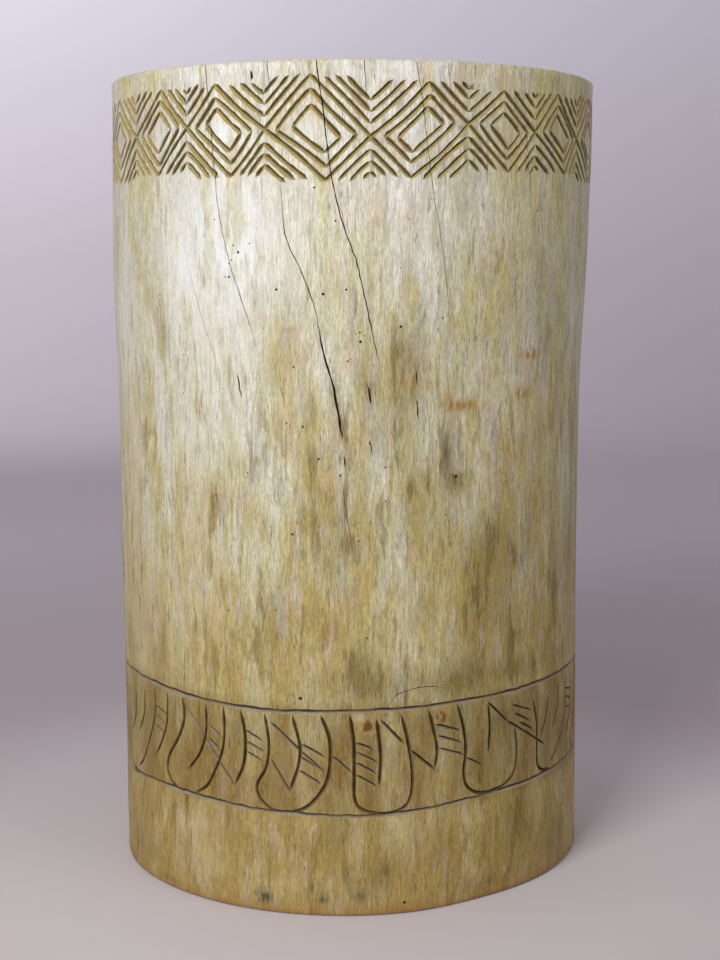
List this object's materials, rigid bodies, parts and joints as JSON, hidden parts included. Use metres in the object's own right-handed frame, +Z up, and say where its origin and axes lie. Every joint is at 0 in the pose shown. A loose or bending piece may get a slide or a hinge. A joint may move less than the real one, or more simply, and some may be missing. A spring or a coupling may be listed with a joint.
{
  "type": "log drum shell",
  "caption": "Straight hollow-log drum shell, open at both ends, carved with a lozenge band under the rim and a tongue band above the foot.",
  "frame": {"origin": "centre of the foot, on the surface that the shell stands on", "axes": "+Z up along the log; -Y is the side with the long drying cracks; +X to its right"},
  "size_m": [0.3738, 0.3724, 0.6],
  "materials": {
    "weathered_wood": "dry, unvarnished, weathered"
  },
  "bodies": {
    "root": {"drum_shell": "weathered_wood"}
  },
  "joints": []
}
